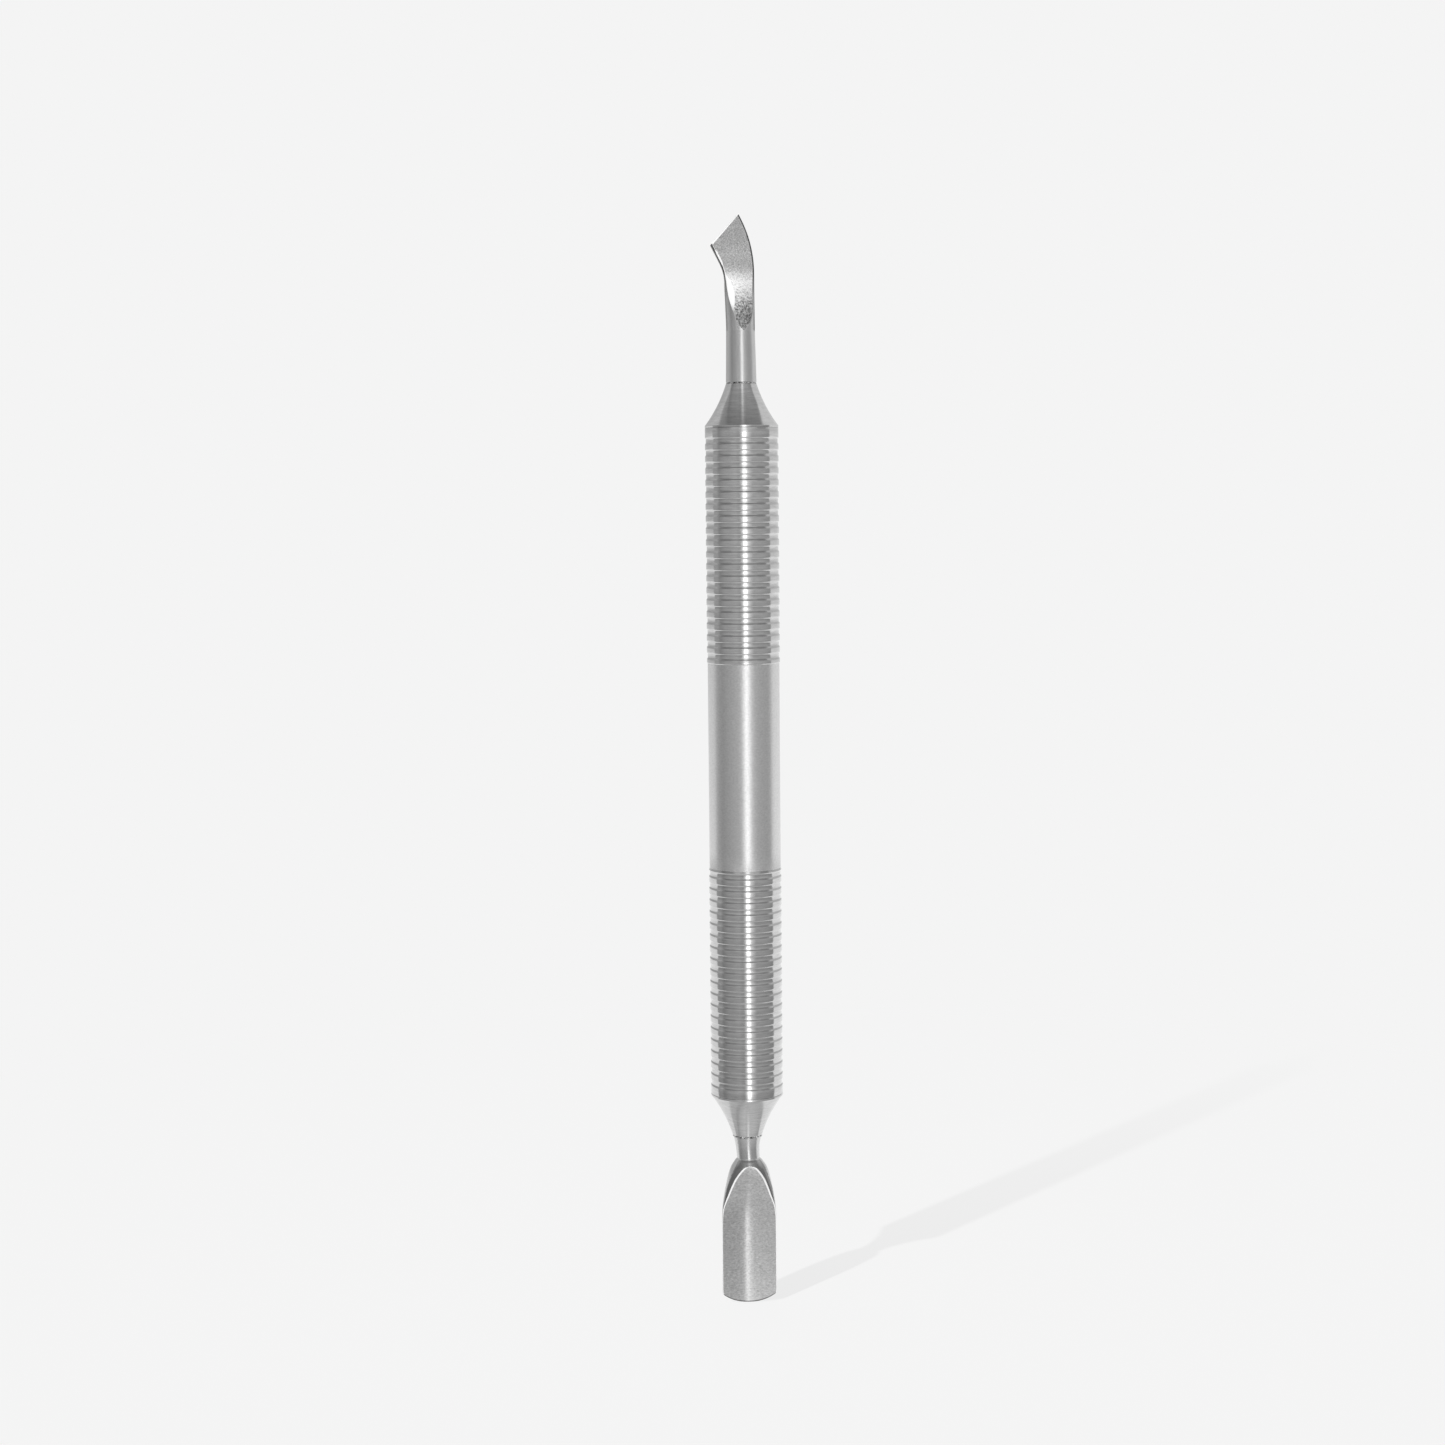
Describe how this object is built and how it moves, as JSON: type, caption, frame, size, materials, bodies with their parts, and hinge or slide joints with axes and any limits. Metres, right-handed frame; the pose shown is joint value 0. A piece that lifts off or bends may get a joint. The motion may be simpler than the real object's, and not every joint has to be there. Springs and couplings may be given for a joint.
{
  "type": "cuticle pusher",
  "caption": "Double-ended steel cuticle pusher: slanted scraper blade, rounded pusher spoon and a hollow round handle with turned grip grooves and a smooth middle band.",
  "frame": {"origin": "middle of the handle's length, on its axis, which is the hand_grip mount", "axes": "+Z along the axis from the spoon to the blade, -Y the way both working faces look, -X the side the blade hooks to"},
  "size_m": [0.009, 0.009, 0.1356],
  "materials": {
    "handle_steel": "fine turned satin, rings round the axis",
    "cone_steel": "fine turned, nearly polished",
    "blade_steel": "blasted matt working face, polished shank and edges",
    "spoon_steel": "fine matt working face, polished neck, rim and back",
    "seam_braze": "rough dark filler with bright specks"
  },
  "bodies": {
    "root": {"handle_tube": "handle_steel", "upper_cone": "cone_steel", "lower_cone": "cone_steel", "scraper_blade": "blade_steel", "pusher_spoon": "spoon_steel", "upper_seam_braze": "seam_braze", "lower_seam_braze": "seam_braze"}
  },
  "joints": []
}
